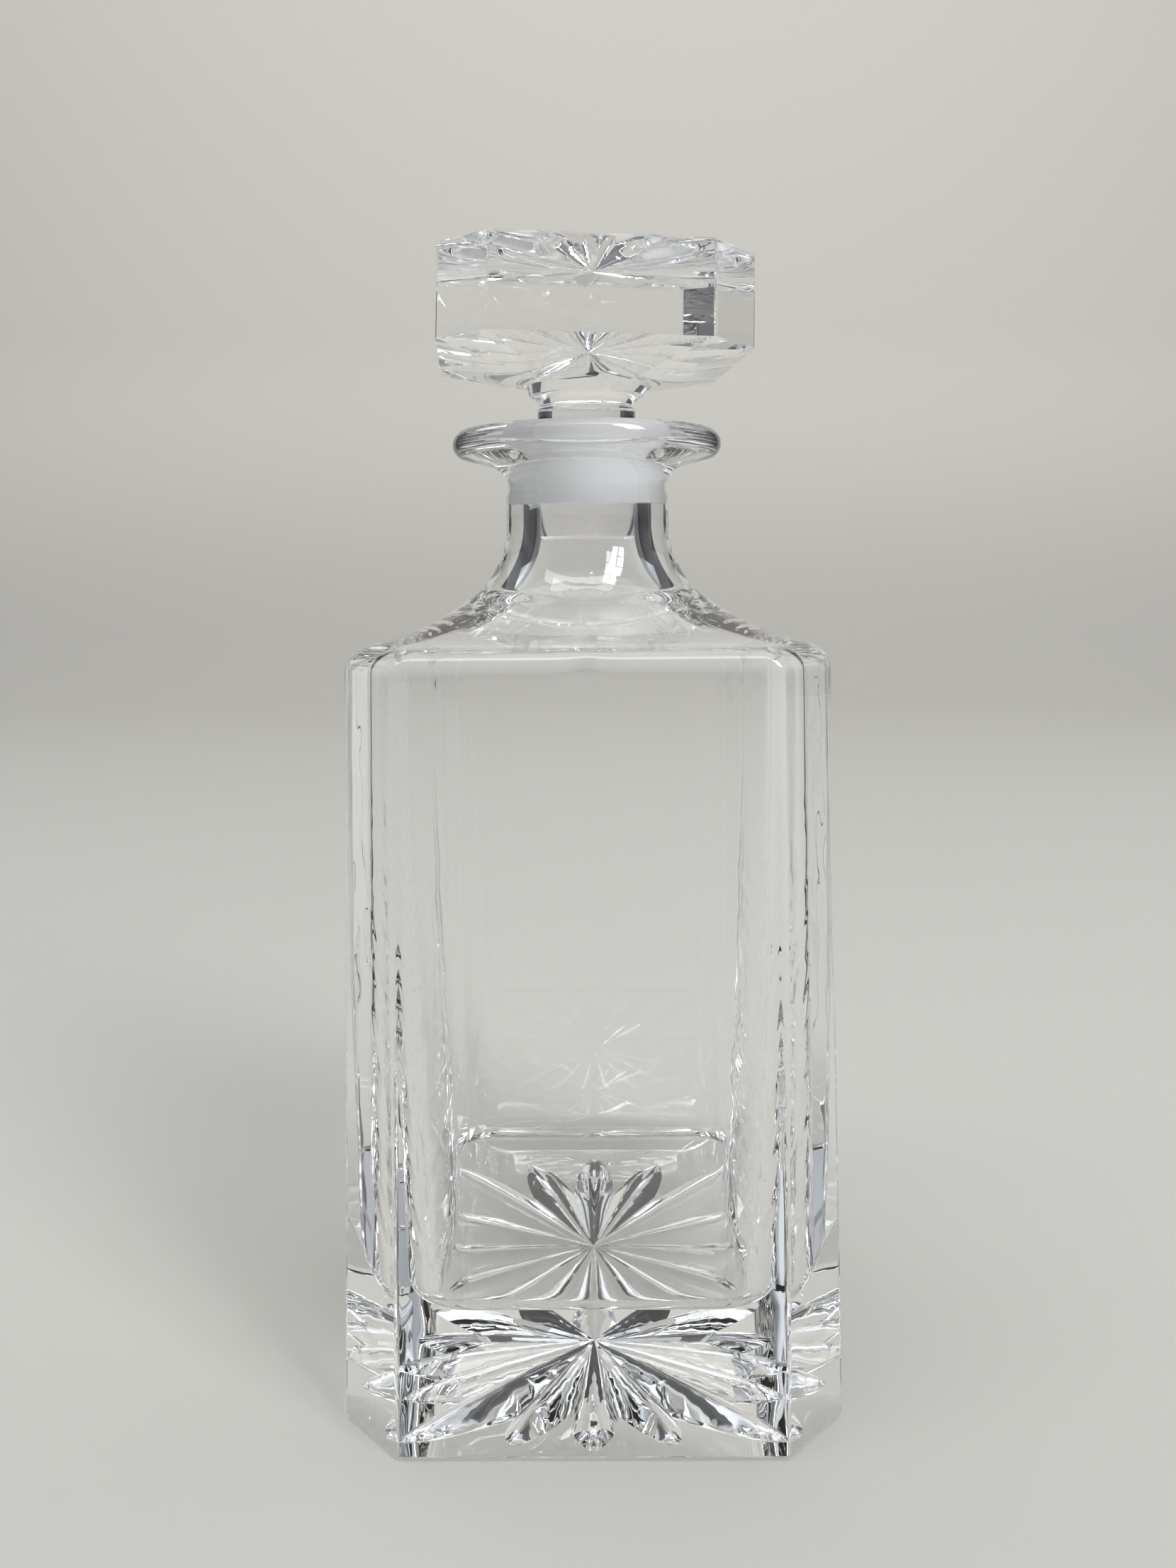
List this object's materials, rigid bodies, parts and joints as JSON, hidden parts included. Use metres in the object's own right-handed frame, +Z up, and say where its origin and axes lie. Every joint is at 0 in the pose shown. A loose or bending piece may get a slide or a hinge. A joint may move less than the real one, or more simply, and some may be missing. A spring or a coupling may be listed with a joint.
{
  "type": "cut crystal decanter",
  "caption": "Square cut crystal decanter with chamfered corners, a star-cut foot, a flared lip and a solid square stopper.",
  "frame": {"origin": "centre of the foot, on the surface the decanter stands on", "axes": "+Z up through the neck and stopper, -Y the front face, +X the viewer's right"},
  "size_m": [0.095, 0.095, 0.2284],
  "materials": {
    "bottle_crystal": "polished clear lead crystal, with a fine-ground band inside the neck",
    "stopper_crystal": "polished clear lead crystal, with a fine-ground plug"
  },
  "bodies": {
    "bottle": {"bottle": "bottle_crystal"},
    "stopper": {"stopper": "stopper_crystal"}
  },
  "joints": [
    {"name": "stopper_lift", "type": "slide", "parent": "bottle", "child": "stopper", "axis": [0, 0, 1], "range_m": [0, 0.06]}
  ]
}
